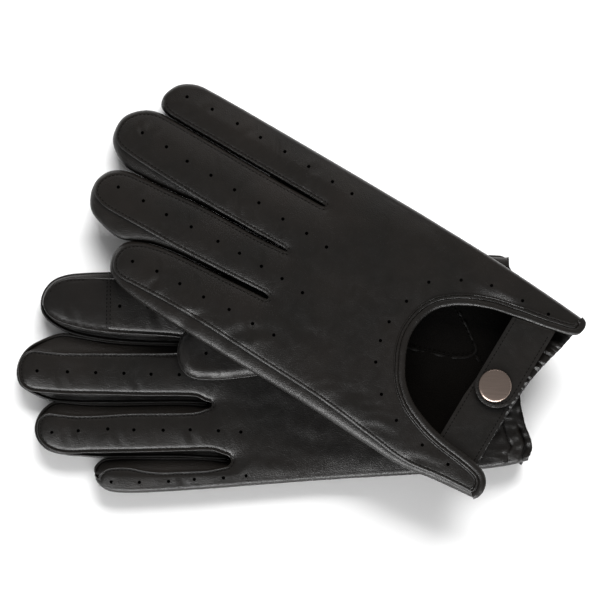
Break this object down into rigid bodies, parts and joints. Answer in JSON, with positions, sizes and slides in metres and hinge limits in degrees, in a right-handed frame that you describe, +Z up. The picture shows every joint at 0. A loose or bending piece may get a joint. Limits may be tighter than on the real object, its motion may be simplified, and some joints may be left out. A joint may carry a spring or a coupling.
{
  "type": "leather driving gloves",
  "caption": "Pair of black leather driving gloves with keyhole backs, perforated fingers and snap wrist straps, one lying palm up under the other.",
  "frame": {"origin": "centre of the bounding box's base, on the table", "axes": "+Z up from the table, +X from the fingertips towards the wrists, the pair's longest extent, +Y towards the left glove's index finger"},
  "size_m": [0.2608, 0.1932, 0.0346],
  "materials": {
    "black_leather": "smooth, satin, fine grain",
    "touch_leather": "smooth, slightly glossier",
    "inner_leather": "matt flesh side",
    "cap_metal": "brushed, warm gunmetal",
    "snap_metal": "satin",
    "elastic": "woven, matt"
  },
  "bodies": {
    "right_glove": {"right_back_panel": "black_leather", "right_palm_panel": "black_leather", "right_index_tip_patch": "touch_leather", "right_thumb": "black_leather", "right_index_side_strip": "black_leather", "right_middle_inner_strip": "black_leather", "right_middle_outer_strip": "black_leather", "right_ring_inner_strip": "black_leather", "right_ring_outer_strip": "black_leather", "right_little_side_strip": "black_leather", "right_keyhole_binding": "black_leather", "right_tab": "black_leather", "right_tab_lining": "inner_leather", "right_snap_stud": "snap_metal", "right_snap_post": "snap_metal", "right_wrist_elastic": "elastic", "right_cuff_facing": "inner_leather"},
    "right_strap": {"right_strap": "black_leather", "right_strap_lining": "inner_leather", "right_snap_cap": "cap_metal", "right_snap_socket": "snap_metal"},
    "left_glove": {"left_back_panel": "black_leather", "left_palm_panel": "black_leather", "left_index_tip_patch": "touch_leather", "left_thumb": "black_leather", "left_index_side_strip": "black_leather", "left_middle_inner_strip": "black_leather", "left_middle_outer_strip": "black_leather", "left_ring_inner_strip": "black_leather", "left_ring_outer_strip": "black_leather", "left_little_side_strip": "black_leather", "left_keyhole_binding": "black_leather", "left_tab": "black_leather", "left_tab_lining": "inner_leather", "left_snap_stud": "snap_metal", "left_snap_post": "snap_metal", "left_wrist_elastic": "elastic", "left_cuff_facing": "inner_leather"},
    "left_strap": {"left_strap": "black_leather", "left_strap_lining": "inner_leather", "left_snap_cap": "cap_metal", "left_snap_socket": "snap_metal"}
  },
  "joints": [
    {"name": "left_glove_lift", "type": "slide", "parent": "right_glove", "child": "left_glove", "axis": [0, 0, 1], "range_m": [0, 0.12]},
    {"name": "right_strap_hinge", "type": "hinge", "parent": "right_glove", "child": "right_strap", "pos_m": [0.08081, -0.00355, 0.0019], "axis": [0.9981, 0.061, 0], "range_deg": [0, 150]},
    {"name": "left_strap_hinge", "type": "hinge", "parent": "left_glove", "child": "left_strap", "pos_m": [0.10612, -0.01932, 0.031], "axis": [-0.8581, 0.5135, 0], "range_deg": [0, 150]}
  ]
}
